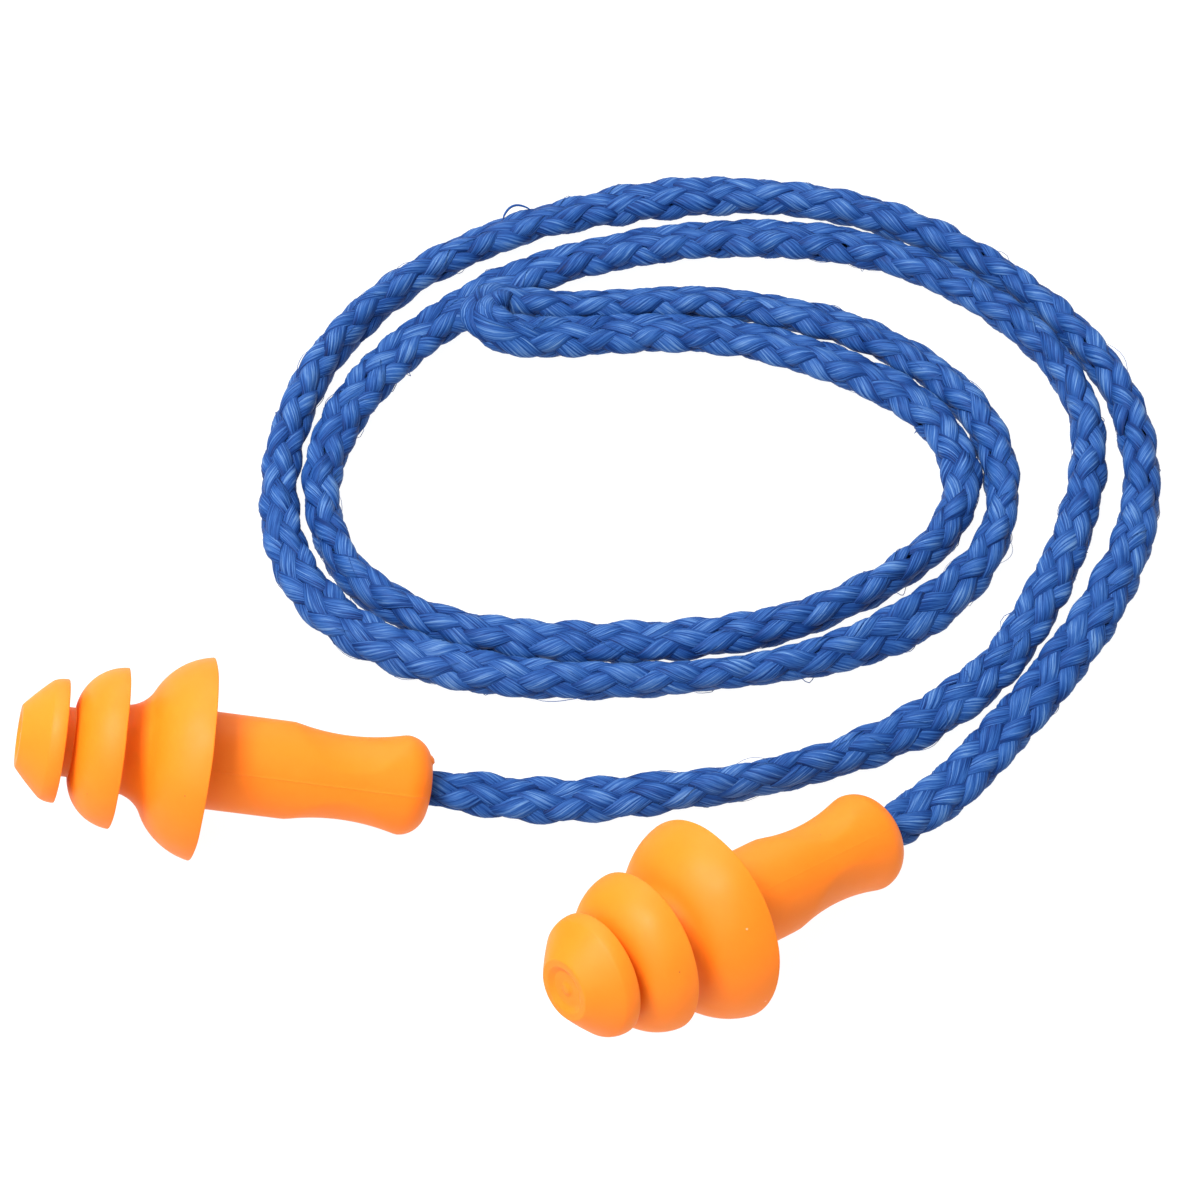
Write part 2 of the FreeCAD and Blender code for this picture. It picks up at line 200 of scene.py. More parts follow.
# One yarn has been snagged into a loop, which leans up and away from the coil's middle.
SNAG_NEAR = (2.9, 57.0)
SNAG_SPAN, SNAG_DEPTH, SNAG_RISE, SNAG_RADIUS = 2.0, 1.0, 0.72, 0.1
SNAG_UP, SNAG_AWAY, SNAG_FULLNESS = 0.55, 0.83, 0.8
SNAG_POINTS = 13

# Nothing in the cord reaches the table, and this is how far it stays off.
TABLE_CLEARANCE = 0.02

# The sockets of a colour Mix node, which share their names with its other kinds.
MIX_FIRST, MIX_SECOND, MIX_RESULT = 6, 7, 2


# ---------------------------------------------------------------- camera and stage

def make_camera():
    camera = bpy.data.objects.new("camera", bpy.data.cameras.new("camera"))
    camera.data.lens = LENS_MM
    camera.data.sensor_width = SENSOR_MM
    camera.data.clip_start = CLIP_START
    back = Vector((0, -math.cos(VIEW_ELEVATION), math.sin(VIEW_ELEVATION)))
    camera.location = VIEW_TARGET + back * VIEW_DISTANCE
    camera.rotation_euler = (math.pi / 2 - VIEW_ELEVATION, 0, 0)
    bpy.context.scene.collection.objects.link(camera)
    bpy.context.scene.camera = camera


def make_floor():
    mesh = bpy.data.meshes.new("floor")
    half = FLOOR_HALF_SIZE
    mesh.from_pydata([(-half, -half, 0), (half, -half, 0), (half, half, 0), (-half, half, 0)],
                     [], [(0, 1, 2, 3)])
    floor = bpy.data.objects.new("floor", mesh)
    floor.location = (0, 0, -FLOOR_DROP)
    bpy.context.scene.collection.objects.link(floor)
    material, shader = new_material("floor")
    set_sockets(shader, {
        "Base Color": (0.12, 0.12, 0.12, 1),
        "Emission Color": (1, 1, 1, 1),
        "Emission Strength": 0.96,
        "Roughness": 0.9,
        "Specular IOR Level": 0.1,
    })
    mesh.materials.append(material)


def make_light(name, place, size, power):
    light = bpy.data.lights.new(name, "AREA")
    light.shape = "SQUARE"
    light.size = size
    light.energy = power
    lamp = bpy.data.objects.new(name, light)
    lamp.location = place
    lamp.rotation_euler = (VIEW_TARGET - Vector(place)).to_track_quat("-Z", "Y").to_euler()
    bpy.context.scene.collection.objects.link(lamp)


def make_lights():
    world = bpy.data.worlds.new("world")
    world.use_nodes = True
    set_sockets(world.node_tree.nodes["Background"], {
        "Color": (1, 1, 1, 1),
        "Strength": WORLD_STRENGTH,
    })
    bpy.context.scene.world = world
    for light in LIGHTS:
        make_light(*light)


# ---------------------------------------------------------------- materials

def new_material(name):
    material = bpy.data.materials.new(name)
    material.use_nodes = True
    return material, material.node_tree.nodes["Principled BSDF"]


def set_sockets(node, values):
    """Give a node's sockets values that are the same all over the surface."""
    for name, value in values.items():
        node.inputs[name].default_value = value


class Nodes:
    """Short ways to add and join the nodes of one material."""

    def __init__(self, material):
        self.tree = material.node_tree

    def add(self, kind, **settings):
        node = self.tree.nodes.new(kind)
        for name, value in settings.items():
            setattr(node, name, value)
        return node

    def join(self, source, target):
        self.tree.links.new(source, target)

    def math(self, operation, first, second):
        """A Math node on two values, each an output socket or a plain number."""
        node = self.add("ShaderNodeMath", operation=operation)
        for socket, value in zip(node.inputs, (first, second)):
            if isinstance(value, bpy.types.NodeSocket):
                self.join(value, socket)
            else:
                socket.default_value = value
        return node.outputs[0]

    def scaled(self, value, factor, offset):
        """A value times a factor, plus an offset."""
        result = self.math("MULTIPLY_ADD", value, factor)
        result.node.inputs[2].default_value = offset
        return result

    def noise(self, place, scale, detail=3.0, roughness=0.5):
        node = self.add("ShaderNodeTexNoise")
        set_sockets(node, {"Scale": scale, "Detail": detail, "Roughness": roughness})
        self.join(place, node.inputs["Vector"])
        return node.outputs["Fac"]

    def ramp(self, value, *stops):
        """A colour ramp through (position, linear colour) stops."""
        node = self.add("ShaderNodeValToRGB")
        elements = node.color_ramp.elements
        while len(elements) < len(stops):
            elements.new(0.5)
        for element, (position, colour) in zip(elements, stops):
            element.position = position
            element.color = (*colour, 1)
        self.join(value, node.inputs["Fac"])
        return node.outputs["Color"]

    def specks(self, place, under, scale, least, reach, dust, cover=0.7):
        """Sparse round dots of dust on a colour, where a slow noise is over a least value."""
        dots = self.add("ShaderNodeTexVoronoi", feature="F1")
        dots.inputs["Scale"].default_value = scale
        self.join(place, dots.inputs["Vector"])
        chosen = self.math("GREATER_THAN", self.noise(place, scale / 3, 1), least)
        near = self.math("LESS_THAN", dots.outputs["Distance"], reach)
        mask = self.math("MULTIPLY", chosen, near)
        mix = self.add("ShaderNodeMix", data_type="RGBA")
        self.join(self.math("MULTIPLY", mask, cover), mix.inputs["Factor"])
        self.join(under, mix.inputs[MIX_FIRST])
        mix.inputs[MIX_SECOND].default_value = (*dust, 1)
        return mix.outputs[MIX_RESULT]

    def bump(self, height, strength, distance, under=None):
        node = self.add("ShaderNodeBump")
        set_sockets(node, {"Strength": strength, "Distance": distance})
        self.join(height, node.inputs["Height"])
        if under is not None:
            self.join(under, node.inputs["Normal"])
        return node.outputs["Normal"]


def make_elastomer():
    """Soft matt moulded rubber that lets a little light through, with fine surface grain."""
    material, shader = new_material("plug_elastomer")
    nodes = Nodes(material)
    place = nodes.add("ShaderNodeTexCoord").outputs["Object"]
    cloud = nodes.noise(place, 240, 4)
    colour = nodes.ramp(cloud, (0.3, (0.82, 0.186, 0.006)), (0.7, (0.88, 0.204, 0.010)))
    colour = nodes.specks(place, colour, scale=760, least=0.56, reach=0.04,
                          dust=(0.25, 0.07, 0.02))
    colour = nodes.specks(place, colour, scale=640, least=0.6, reach=0.045,
                          dust=(1.0, 0.45, 0.25))
    nodes.join(colour, shader.inputs["Base Color"])
    grain = nodes.bump(nodes.noise(place, 5200, 2), strength=0.12, distance=0.03 * MM)
    waves = nodes.bump(nodes.noise(place, 520, 3), strength=0.22, distance=0.05 * MM, under=grain)
    nodes.join(waves, shader.inputs["Normal"])
    gloss = nodes.scaled(nodes.noise(place, 900, 3), factor=0.16, offset=0.42)
    nodes.join(gloss, shader.inputs["Roughness"])
    set_sockets(shader, {
        "Subsurface Weight": 0.14,
        "Subsurface Radius": (1.0, 0.28, 0.06),
        "Subsurface Scale": 0.9 * MM,
        "Specular IOR Level": 0.22,
    })
    return material


def make_braid_material():
    """Silky synthetic filaments: streaks run along each strand on its own surface map."""
    material, shader = new_material("braided_cord")
    nodes = Nodes(material)
    surface = nodes.add("ShaderNodeUVMap", uv_map="strand").outputs["UV"]
    split = nodes.add("ShaderNodeSeparateXYZ")
    nodes.join(surface, split.inputs["Vector"])
    strand = nodes.add("ShaderNodeAttribute", attribute_name="strand_number")
    painted_light = nodes.add("ShaderNodeAttribute", attribute_name="outward").outputs["Fac"]
    strand_gap = 7.3  # keeps one strand's streaks apart from the next one's
    fine_share, coarse_share, patch_share, painted_light_share, darkening = 1.2, 0.32, 0.3, 0.43, 0.7

    def streaks(along, across, detail):
        """Noise that is stretched along a strand, in cycles to a millimetre each way."""
        place = nodes.add("ShaderNodeCombineXYZ")
        nodes.join(nodes.math("MULTIPLY", split.outputs["X"], along), place.inputs["X"])
        nodes.join(nodes.math("MULTIPLY", split.outputs["Y"], across), place.inputs["Y"])
        nodes.join(nodes.math("MULTIPLY", strand.outputs["Fac"], strand_gap), place.inputs["Z"])
        return nodes.noise(place.outputs["Vector"], 1.0, detail, 0.6)

    fine = streaks(along=0.4, across=18.0, detail=3)
    coarse = streaks(along=0.35, across=7.0, detail=2)
    patches = streaks(along=0.12, across=0.3, detail=1)
    shade = nodes.scaled(fine, fine_share, -darkening)
    shade = nodes.math("ADD", shade, nodes.math("MULTIPLY", coarse, coarse_share))
    shade = nodes.math("ADD", shade, nodes.math("MULTIPLY", patches, patch_share))
    # Painted shade and light: yarn at a strand's edges and where it dives is coloured darker, as
    # if in the shade of its neighbours, and yarn on top is coloured lighter.
    tone = nodes.math("ADD", shade, nodes.math("MULTIPLY", painted_light, painted_light_share))
    colour = nodes.ramp(
        tone,
        (0.15, (0.001, 0.007, 0.04)),
        (0.36, (0.003, 0.023, 0.12)),
        (0.5, (0.009, 0.047, 0.193)),
        (0.66, (0.025, 0.088, 0.28)),
        (0.86, (0.105, 0.205, 0.4)),
    )
    nodes.join(colour, shader.inputs["Base Color"])
    grooves = nodes.bump(coarse, strength=0.25, distance=0.1 * MM)
    fibres = nodes.bump(fine, strength=0.55, distance=0.06 * MM, under=grooves)
    nodes.join(fibres, shader.inputs["Normal"])
    nodes.join(nodes.scaled(fine, factor=0.25, offset=0.38), shader.inputs["Roughness"])
    set_sockets(shader, {
        "Specular IOR Level": 0.08,
        "Sheen Weight": 0.05,
        "Sheen Roughness": 0.35,
        "Sheen Tint": (0.3, 0.55, 1.0, 1),
    })
    return material


def make_adhesive():
    """Cured adhesive: a little cloudy and not quite smooth."""
    material, shader = new_material("bond_adhesive")
    nodes = Nodes(material)
    place = nodes.add("ShaderNodeTexCoord").outputs["Object"]
    cloud = nodes.noise(place, 900, 3)
    nodes.join(nodes.ramp(cloud, (0.3, (0.62, 0.5, 0.3)), (0.7, (0.86, 0.78, 0.56))),
               shader.inputs["Base Color"])
    nodes.join(nodes.bump(cloud, strength=0.4, distance=0.1 * MM), shader.inputs["Normal"])
    shader.inputs["Roughness"].default_value = 0.3
    return material


# ---------------------------------------------------------------- where the plugs lie

def resting_tilt():
    """The slope of a plug that lies on its rear rim and its rounded bulb."""
    rise = REAR_RIM[1] - END_FACE_RADIUS
    span = BULB_STATION - REAR_RIM[0]
    return math.acos(END_ROUNDING / math.hypot(rise, span)) - math.atan2(span, rise)


def plug_axes(side):
    """The hinge point, the direction to the tip, the recess's direction and the third one."""
    joint = next(j for j in frame["joints"] if j["child"] == f"{side}_plug")
    hinge = Vector(joint["pos_m"])
    turn = Vector(joint["axis"])
    heading = Vector((-turn.y, turn.x, 0)).normalized()
    tilt = resting_tilt()
    along = heading * math.cos(tilt) + Vector((0, 0, math.sin(tilt)))
    upward = (Vector((0, 0, 1)) - along * along.z).normalized()
    across = along.cross(upward)
    roll = RECESS_ROLL[side]
    recess = upward * math.cos(roll) + across * math.sin(roll)
    return hinge, along, recess, along.cross(recess)


def stem_end(side):
    hinge, along, _, _ = plug_axes(side)
    return hinge + along * HINGE_REACH * MM


# ---------------------------------------------------------------- meshes

def make_object(name, vertices, faces, material):
    mesh = bpy.data.meshes.new(name)
    mesh.from_pydata(vertices, [], faces)
    # A tube's end is a face of many corners: it stays flat, and doesn't shade its rim.
    mesh.polygons.foreach_set("use_smooth", [len(face) <= 4 for face in faces])
    mesh.materials.append(material)
    mesh.update()
    piece = bpy.data.objects.new(name, mesh)
    bpy.context.scene.collection.objects.link(piece)
    return piece


def arc_points(start, end, radius, bulge, step):
    """Points on an arc from start up to, but without, its end.  It bulges to one side, 1 or -1."""
    start, end = np.array(start), np.array(end)
    chord = end - start
    length = np.linalg.norm(chord)
    across = np.array((-chord[1], chord[0])) / length
    rise = math.sqrt(radius ** 2 - (length / 2) ** 2)
    centre = (start + end) / 2 - across * (bulge * rise)
    first = math.atan2(*(start - centre)[::-1])
    last = math.atan2(*(end - centre)[::-1])
    sweep = (last - first + math.pi) % (2 * math.pi) - math.pi
    count = max(2, math.ceil(abs(sweep) * radius / step))
    angles = first + sweep * np.arange(count) / count
    return centre + radius * np.stack([np.cos(angles), np.sin(angles)], axis=1)


def straight_points(start, end, step):
    start, end = np.array(start), np.array(end)
    count = max(1, math.ceil(np.linalg.norm(end - start) / step))
    return start + (end - start) * np.arange(count)[:, None] / count


def lengths_along(points):
    return np.concatenate([[0], np.cumsum(np.linalg.norm(np.diff(points, axis=0), axis=1))])


def resample(points, at):
    """The points of a line at these distances along it."""
    along = lengths_along(points)
    return np.stack([np.interp(at, along, points[:, k]) for k in range(points.shape[1])], axis=1)


def rounded_outline(rounding=0.045, step=0.015, kept=270, crowding=2.2, most_turning=8):
    """The plug's outline with its corners rounded, points closest where it turns most."""
    corners = TIP + FLANGES + STEM
    lines = []
    for corner, following in zip(corners, corners[1:]):
        start, end = corner[:2], following[:2]
        if corner[2] is None:
            lines.append(straight_points(start, end, step))
        else:
            lines.append(arc_points(start, end, corner[2], corner[3], step))
    line = np.concatenate(lines + [np.array([corners[-1][:2]])])
    line = resample(line, np.arange(0, lengths_along(line)[-1], step))
    # A mirror image past each end keeps the outline square to the axis there.
    reach = math.ceil(4 * rounding / step)  # a bell curve is spent after four widths
    mirror = np.array([1, -1])
    padded = np.concatenate([line[reach:0:-1] * mirror, line, line[-2:-2 - reach:-1] * mirror])
    weights = np.exp(-0.5 * (np.arange(-reach, reach + 1) * step / rounding) ** 2)
    weights /= weights.sum()
    smooth = np.stack([np.convolve(padded[:, k], weights, "valid") for k in range(2)], axis=1)
    smooth[0, 1] = smooth[-1, 1] = 0
    direction = np.diff(smooth, axis=0)
    angle = np.unwrap(np.arctan2(direction[:, 1], direction[:, 0]))
    turning = np.concatenate([[0], np.abs(np.diff(angle)), [0]]) / step
    effort = np.cumsum(1 + crowding * np.minimum(turning, most_turning))
    at = np.interp(np.linspace(effort[0], effort[-1], kept), effort, lengths_along(smooth))
    return resample(smooth, at)


def recess_radius(station, angle):
    """How far from the stem's axis one recess leaves material, at an angle from its middle."""
    first, last = RECESS_STATIONS
    half, middle = (last - first) / 2, (first + last) / 2
    rise = math.sqrt(RECESS_ARC_RADIUS ** 2 - half ** 2)
    off = np.clip(station - middle, -half - RECESS_RUN_OUT, half + RECESS_RUN_OUT)
    reach = RECESS_OUTER_RADIUS + rise - np.sqrt(RECESS_ARC_RADIUS ** 2 - off ** 2)
    return (-RECESS_OFFSET * np.cos(angle)
            + np.sqrt(reach ** 2 - (RECESS_OFFSET * np.sin(angle)) ** 2))


def soft_minimum(a, b, width):
    """The smaller of two values, rounded off where they cross."""
    share = np.clip(0.5 + 0.5 * (b - a) / width, 0, 1)
    return b + (a - b) * share - width * share * (1 - share)


def ring_angles(count=160, crowding=0.82):
    """Angles round the plug, closest together at the two parting lines."""
    even = np.arange(count) * 2 * np.pi / count
    return even + crowding / 2 * np.sin(2 * even)


def bell(away):
    """A smooth rise and fall about zero."""
    return np.exp(-away ** 2)


def recessed(station, radius, angle):
    """The stem's radius once the two finger recesses have been taken from it."""
    for turn in (0, np.pi):
        cut = soft_minimum(radius, recess_radius(station, angle + turn), RECESS_BLEND)
        radius = np.where((station > STEM_START) & (station < RECESS_LIMIT), cut, radius)
    return radius


def rim_wave(station, angle, side):
    """A slow unevenness round the plug: a few low harmonics, as (turns, height, phase)."""
    phase = RIM_WAVE_PHASE[side]
    harmonics = ((2, 1.0, phase), (3, 0.6, 1.7 * phase + station / 3),
                 (7, 0.35, station), (13, 0.2, 2 * phase))
    return sum(height * np.sin(turns * angle + shift) for turns, height, shift in harmonics)


def plug_surface(side):
    """Stations and radii of the plug's skin, one row for each ring, one column an angle."""
    outline = rounded_outline()
    station = outline[:, :1]
    angle = ring_angles()[None, :]
    outer = outline[:, 1:] + 0 * angle
    # The outline runs down the outside to the stem's end, and then back up the bore.
    outside = np.arange(len(outline))[:, None] < np.argmax(outline[:, 0])
    outer = np.where(outside, recessed(station, outer, angle), outer)
    # The mould's halves leave a fine raised line along each side of the stem.
    away = np.abs((angle % np.pi) - np.pi / 2) * outer
    on_side = outside & (station > FLANGES_END) & (station < PARTING_END)
    ridge = PARTING_HEIGHT[side] * bell(away / PARTING_WIDTH) * on_side
    flash = np.zeros_like(outer)
    if side == "left":
        aside = np.abs(angle - FLASH_ANGLE) * FLASH_RADIUS
        near_rim = bell(((outer - FLASH_RADIUS) / FLASH_THICKNESS) ** 2)
        near_rim = near_rim * outside * (station > FLASH_START)
        flash = FLASH_HEIGHT * near_rim * (aside < FLASH_HALF_LENGTH)
        aside = (angle - NICK_ANGLE) * outer
        nick = (bell(aside / NICK_HALF_WIDTH)
                * bell((station - NICK_STATION) / NICK_HALF_LENGTH))
        ridge = ridge - NICK_DEPTH * outside * nick
    wave = rim_wave(station, angle, side)
    thin = np.clip((outer - RIM_WAVE_START) / RIM_WAVE_GROWTH, 0, 1) * (station < FLANGES_END)
    return (station + flash + RIM_WAVE_ALONG * wave * thin,
            outer + ridge + RIM_WAVE_OUT * wave[:, ::-1] * thin, angle)


def make_plug(side, material):
    """One moulded plug: its skin is a closed surface round the axis, bore included."""
    station, radius, angle = plug_surface(side)
    _, along, recess, third = plug_axes(side)
    base = np.array(stem_end(side))
    height = (PLUG_LENGTH - station)[..., None] * MM * np.array(along)
    out = (np.cos(angle)[..., None] * np.array(recess)
           + np.sin(angle)[..., None] * np.array(third))
    rings = base + height + radius[..., None] * MM * out
    rings[..., 2] = np.maximum(rings[..., 2], 0.0)
    count, around = radius.shape
    vertices = [tuple(rings[0].mean(0))] + rings[1:-1].reshape(-1, 3).tolist()
    vertices.append(tuple(rings[-1].mean(0)))
    last = len(vertices) - 1
    faces = []
    for j in range(around):
        following = (j + 1) % around
        faces.append((0, 1 + j, 1 + following))
        faces.append((last, last - around + following, last - around + j))
        for i in range(count - 3):
            low = 1 + i * around
            faces.append((low + j, low + around + j, low + around + following, low + following))
    piece = make_object(f"{side}_moulded_plug", vertices, faces, material)
    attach(piece, f"{side}_plug")
    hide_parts(f"{side}_plug")


# ---------------------------------------------------------------- the cord

def cord_line():
    """The cord's smooth line from the left stem's end to the right one's, in metres."""
    flat = [Vector((x, y, REST_HEIGHT)) * MM for x, y in OUTWARD_TURN]
    fold = [Vector(point) * MM for point in FOLD]
    back = [Vector((x, y, REST_HEIGHT)) * MM for x, y in RETURN_TURN]
    left_bend = plug_axes("left")[0]
    right_bend = Vector(RIGHT_BEND) * MM
    route = [stem_end("left"), left_bend] + flat + fold + back + [right_bend, stem_end("right")]
    curve = bpy.data.curves.new("cord_line", "CURVE")
    curve.dimensions = "3D"
    spline = curve.splines.new("NURBS")
    spline.points.add(len(route) - 1)
    for point, place in zip(spline.points, route):
        point.co = (*place, 1)
    spline.order_u = 3
    spline.use_endpoint_u = True
    spline.resolution_u = 24  # points for each stretch, which is a few millimetres
    holder = bpy.data.objects.new("cord_line", curve)
    mesh = bpy.data.meshes.new_from_object(holder)
    line = np.array([vertex.co for vertex in mesh.vertices])
    bpy.data.meshes.remove(mesh)
    bpy.data.objects.remove(holder)
    bpy.data.curves.remove(curve)
    return line


def carried_frames(line):
    """The line's direction at each point, and two directions across it that never twist."""
    tangent = np.gradient(line, axis=0)
    tangent /= np.linalg.norm(tangent, axis=1)[:, None]
    first = np.zeros_like(line)
    normal = np.array((0.0, 0.0, 1.0))
    for i, direction in enumerate(tangent):
        normal = normal - direction * (normal @ direction)
        normal /= np.linalg.norm(normal)
        first[i] = normal
    return tangent, first, np.cross(tangent, first)


def smooth_step(share):
    """A share from 0 to 1 that leaves and arrives gently."""
    return share * share * (3 - 2 * share)


def wander(rng, at, spacing, size):
    """A slow random variation along the cord, smooth, about zero."""
    count = int((at[-1] - at[0]) / spacing) + 4  # a few more than the cord needs
    values = rng.normal(0, 1, count)
    place = (at - at[0]) / spacing
    index = place.astype(int)
    share = smooth_step(place - index)
    return size * (values[index] * (1 - share) + values[index + 1] * share)


def strand_section():
    """A strand's section: places across it from 1 to -1 and back, and heights on each side."""
    above = np.linspace(0, np.pi, TOP_POINTS)
    above = 0.5 * np.cos(above) + 0.5 * np.linspace(1, -1, TOP_POINTS)
    below = np.linspace(-1, 1, UNDER_POINTS + 2)[1:-1]
    dome = (1 - np.abs(above) ** 2.4) ** 0.8  # a little squarer than a half circle
    hollow = -np.sqrt(1 - below ** 2)
    return (np.concatenate([above, below]), np.concatenate([dome, np.zeros(UNDER_POINTS)]),
            np.concatenate([np.zeros(TOP_POINTS), hollow]))


def along_cord(cord, name, places):
    """One of the cord's vectors at any distances along it."""
    return np.stack([np.interp(places, cord["at"], cord[name][:, k]) for k in range(3)], axis=-1)


def lay_out_cord(line):
    """The cord's middle line, evenly spaced and reaching into both stems, and its frames."""
    free = lengths_along(line)[-1] / MM
    before, after = line[0] - line[1], line[-1] - line[-2]
    start = line[0] + before / np.linalg.norm(before) * CORD_INSIDE_STEM * MM
    end = line[-1] + after / np.linalg.norm(after) * CORD_INSIDE_STEM * MM
    whole = np.concatenate([[start], line, [end]])
    count = round((free + 2 * CORD_INSIDE_STEM) / RING_STEP)
    middle = resample(whole, np.linspace(0, lengths_along(whole)[-1], count))
    _, first, second = carried_frames(middle)
    at = np.linspace(-CORD_INSIDE_STEM, free + CORD_INSIDE_STEM, count)
    return {"at": at, "free": free, "middle": middle, "first": first, "second": second}


def lying_width(at):
    """How wide the braid lies: it comes and goes between flat and on its edge."""
    places = np.array(sorted(LIES_FLAT + ON_EDGE))
    widths = np.where(np.isin(places, LIES_FLAT), FLAT_WIDTH, EDGE_WIDTH)
    order = np.interp(at, places, np.arange(len(places)))
    step = order.astype(int)
    share = smooth_step(order - step)
    return widths[step] * (1 - share) + widths[np.minimum(step + 1, len(places) - 1)] * share


def braid_strands(cord):
    """Every strand: its rings as (ring, point, xyz) in metres, its number, and how it lies.

    Its "over" is 1 where it passes over the others and -1 where it dives, and its "dome"
    is the height of its section, from 0 at the edges to 1 in the middle.
    """
    at, free = cord["at"], cord["free"]
    out = np.minimum(at, free - at)
    grown = smooth_step(np.clip((out + GRIP_DEPTH) / SWELL_LENGTH, 0, 1))
    swell = GRIPPED_SIZE + (1 - GRIPPED_SIZE) * grown
    rng = np.random.default_rng(BRAID_SEED)
    twist = wander(rng, at, *TWIST_WANDER)
    flat_angle = np.pi / 2 + wander(rng, at, *TURN_WANDER)
    flatness = grown * FLATTENING * (lying_width(at) / BRAID_WIDTH - 1)
    flatness += wander(rng, at, *FLATNESS_WANDER)
    fullness = 1 + wander(rng, at, *FULLNESS_WANDER)
    across, dome, hollow = strand_section()
    helix = math.atan2(2 * math.pi * BRAID_RADIUS, BRAID_PITCH)
    strands = []
    for number in range(STRANDS):
        hand = 1 if number % 2 else -1
        jitter = wander(rng, at, *ANGLE_WANDER)
        place_in_lay = (number // 2) * 2 * np.pi / LAY_STRANDS
        angle = hand * 2 * np.pi * at / BRAID_PITCH + place_in_lay + twist + jitter
        over = hand * np.cos(LAY_STRANDS * (angle - twist))
        half_width = STRAND_HALF_WIDTH * (1 + STRAND_SPREAD * over)
        half_width += wander(rng, at, *WIDTH_WANDER)
        sideways = half_width[:, None] * across
        places = at[:, None] - hand * sideways * math.sin(helix)
        turned = angle[:, None] + sideways * math.cos(helix) / BRAID_RADIUS
        # A strand rides over at its middle and tucks its edges under its neighbours.
        tucked = hand * np.cos(LAY_STRANDS * (turned - twist[:, None]))
        lift = BRAID_WEAVE * (WEAVE_BY_STRAND * over[:, None] + WEAVE_BY_EDGE * tucked)
        lift += wander(rng, at, *LIFT_WANDER)[:, None]
        # Bundles of filaments make fine ridges, which drift slowly across the strand.
        drift = wander(rng, at, *RIDGE_WANDER)[:, None]
        ridges = np.cos(np.pi * STRAND_RIDGES * across + drift + number)
        coarse = np.cos(np.pi * COARSE_RIDGES * across - COARSE_RIDGE_DRIFT * drift)
        ridges += COARSE_RIDGE_SHARE * coarse
        thickness = STRAND_DOME + wander(rng, at, *DOME_WANDER)[:, None] + RIDGE_HEIGHT * ridges
        height = lift + dome * thickness + hollow * STRAND_UNDERSIDE
        radius = (BRAID_RADIUS + height) * (swell * fullness)[:, None]
        radius *= 1 + flatness[:, None] * np.cos(2 * (turned - flat_angle[:, None]))
        outward = (np.cos(turned)[..., None] * along_cord(cord, "first", places)
                   + np.sin(turned)[..., None] * along_cord(cord, "second", places))
        rings = along_cord(cord, "middle", places) + radius[..., None] * MM * outward
        rings[..., 2] = np.maximum(rings[..., 2], TABLE_CLEARANCE * MM)
        strands.append({"rings": rings, "number": number, "over": over, "dome": dome})
    return strands


def add_tube(vertices, faces, rings):
    """A closed tube through rings of points, with a flat face at each end."""
    base = len(vertices)
    count, around, _ = rings.shape
    vertices += rings.reshape(-1, 3).tolist()
    low = base + np.arange(count - 1)[:, None] * around
    here = np.arange(around)[None, :]
    following = (here + 1) % around
    quads = [low + here, low + around + here, low + around + following, low + following]
    faces += np.stack(quads, axis=-1).reshape(-1, 4).tolist()
    faces.append(list(range(base, base + around)))
    last = base + (count - 1) * around
    faces.append(list(range(last + around - 1, last - 1, -1)))


def add_point_values(piece, label, values):
    attribute = piece.data.attributes.new(label, "FLOAT", "POINT")
    attribute.data.foreach_set("value", values)


def strand_mesh(name, chosen, first, last, at, material):
    """A piece of the chosen strands between two rings, each strand a closed tube.

    Pieces overlap where they join: each one's end ring shrinks to hide inside the other.
    """
    vertices, faces, maps, numbers, outward = [], [], [], [], []
    step = 2 * STRAND_HALF_WIDTH / (TOP_POINTS - 1)
    near = np.repeat(at[first:last - 1, None], RING_POINTS, axis=1)
    far = np.repeat(at[first + 1:last, None], RING_POINTS, axis=1)
    left = np.repeat(np.arange(RING_POINTS)[None, :] * step, last - first - 1, axis=0)
    corners = [(near, left), (far, left), (far, left + step), (near, left + step)]
    for strand in chosen:
        rings = strand["rings"][first:last].copy()
        for end in (0, -1):
            rings[end] += (rings[end].mean(axis=0) - rings[end]) * JOIN_SHRINK
        add_tube(vertices, faces, rings)
        numbers += [strand["number"]] * ((last - first) * RING_POINTS)
        # Painted light and shade: yarn on top of the braid gets a high value and yarn that dives
        # or lies at a strand's edge a low one, kept in the "outward" attribute; the braid material
        # colours high values lighter and low values darker.
        height = 0.5 + 0.5 * strand["over"][first:last, None]
        painted_light = PAINTED_LIGHT_BY_HEIGHT * height + PAINTED_LIGHT_BY_DOME * strand["dome"][None, :]
        outward += painted_light.ravel().tolist()
        quads = np.stack([np.stack(pair, axis=-1) for pair in corners], axis=2)
        maps.append(quads.reshape(-1, 2))
        ends = np.repeat([at[first], at[last - 1]], RING_POINTS)
        maps.append(np.stack([ends, np.zeros(len(ends))], axis=-1))
    piece = make_object(name, vertices, faces, material)
    layer = piece.data.uv_layers.new(name="strand")
    layer.data.foreach_set("uv", np.concatenate(maps).astype(np.float32).ravel())
    add_point_values(piece, "strand_number", numbers)
    add_point_values(piece, "outward", outward)
    return piece


def filament_rings(path, radius):
    """Thin rings round a path in metres, smaller at its ends."""
    _, first, second = carried_frames(path)
    turn = np.arange(FILAMENT_SIDES) * 2 * np.pi / FILAMENT_SIDES
    swell = np.sin(np.linspace(0, np.pi, len(path))) ** FILAMENT_TAPER
    taper = radius * (FILAMENT_TIP_SIZE + (1 - FILAMENT_TIP_SIZE) * swell)
    rings = (path[:, None, :] + taper[:, None, None] * MM
             * (np.cos(turn)[None, :, None] * first[:, None, :]
                + np.sin(turn)[None, :, None] * second[:, None, :]))
    rings[..., 2] = np.maximum(rings[..., 2], TABLE_CLEARANCE * MM)
    return rings


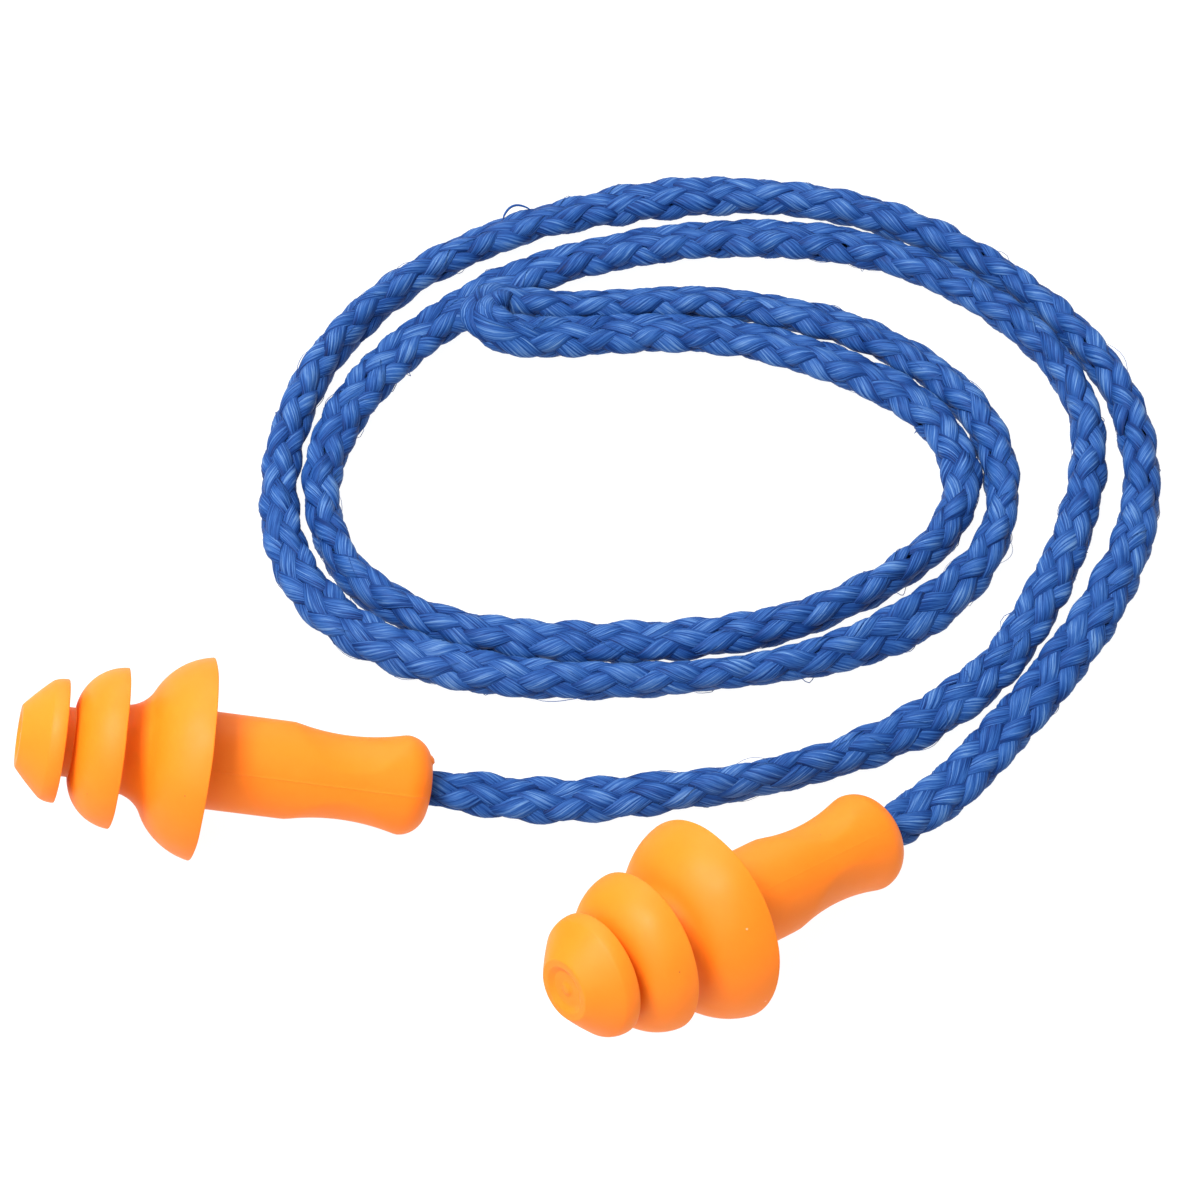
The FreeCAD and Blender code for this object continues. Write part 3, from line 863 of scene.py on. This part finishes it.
def loose_filaments(cord, strands, material):
    """Short filaments that lie on the strands and stand off them a little in the middle."""
    rng = np.random.default_rng(FILAMENT_SEED)
    at = cord["at"]
    first_place = END_PIECE_REACH + FREE_BEFORE
    last_place = cord["free"] - END_PIECE_REACH - FREE_AFTER
    usable = np.flatnonzero((at > first_place) & (at < last_place))
    vertices, faces = [], []
    for _ in range(LOOSE_FILAMENTS):
        strand = strands[rng.integers(STRANDS)]
        start = usable[rng.integers(len(usable))]
        length = rng.integers(*FILAMENT_RINGS)
        across = np.linspace(*rng.uniform(1, TOP_POINTS - 2, 2), length)
        rows = strand["rings"][start:start + length]
        low = across.astype(int)
        share = (across - low)[:, None]
        steps = np.arange(length)
        path = rows[steps, low] * (1 - share) + rows[steps, low + 1] * share
        outward = path - cord["middle"][start:start + length]
        outward /= np.linalg.norm(outward, axis=1)[:, None]
        lies = rng.random() < LYING_SHARE
        lift = rng.uniform(*(LYING_LIFT if lies else STANDING_LIFT))
        rise = FILAMENT_CLEARANCE + lift * np.sin(np.pi * np.linspace(0, 1, length))
        path = path + outward * rise[:, None] * MM
        add_tube(vertices, faces, filament_rings(path, rng.uniform(*FILAMENT_RADIUS)))
    add_tube(vertices, faces, snagged_loop(cord))
    piece = make_object("loose_filaments", vertices, faces, material)
    layer = piece.data.uv_layers.new(name="strand")
    layer.data.foreach_set("uv", np.zeros(2 * len(piece.data.loops), np.float32))
    add_point_values(piece, "strand_number", [FILAMENT_STRAND] * len(vertices))
    add_point_values(piece, "outward", [FILAMENT_PAINTED_LIGHT] * len(vertices))
    return piece


def snagged_loop(cord):
    """A yarn pulled up off the back of the outer turn."""
    middle = cord["middle"]
    away = np.linalg.norm(middle[:, :2] - np.array(SNAG_NEAR) * MM, axis=1)
    here = int(np.argmin(away))
    half = round(SNAG_SPAN / 2 / RING_STEP)
    span = middle[here - half:here + half + 1]
    span = resample(span, np.linspace(0, lengths_along(span)[-1], SNAG_POINTS))
    _, first, second = carried_frames(span)
    outward = SNAG_UP * first - SNAG_AWAY * second
    arch = np.sin(np.pi * np.linspace(0, 1, SNAG_POINTS)) ** SNAG_FULLNESS
    rise = SNAG_DEPTH + SNAG_RISE * arch
    return filament_rings(span + outward * rise[:, None] * MM, SNAG_RADIUS)


def make_cord(material):
    line = cord_line()
    cord = lay_out_cord(line)
    at, free = cord["at"], cord["free"]
    strands = braid_strands(cord)
    cut_left = int(np.searchsorted(at, END_PIECE_REACH))
    cut_right = int(np.searchsorted(at, free - END_PIECE_REACH))
    for strand in strands:
        number = strand["number"] + 1
        piece = strand_mesh(f"braid_strand_{number}", [strand], cut_left, cut_right + 1,
                            at, material)
        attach(piece, "cord")
    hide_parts("cord")
    loose = loose_filaments(cord, strands, material)
    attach(loose, "cord")
    spans = {
        "left": (0, cut_left + 1 + JOIN_RINGS),
        "right": (cut_right - JOIN_RINGS, len(at)),
    }
    for side in SIDES:
        piece = strand_mesh(f"{side}_braid_end", strands, *spans[side], at, material)
        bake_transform(piece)
        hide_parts(f"{side}_cord_end")


make_camera()
braid = make_braid_material()
make_cord(braid)
elastomer = make_elastomer()
for side in SIDES:
    make_plug(side, elastomer)
adhesive = make_adhesive()
for side in SIDES:
    bond = frame["nodes"][f"{side}_cord_bond"]
    bond.data.materials.clear()
    bond.data.materials.append(adhesive)
make_floor()
make_lights()
bpy.context.scene.view_settings.view_transform = "Standard"
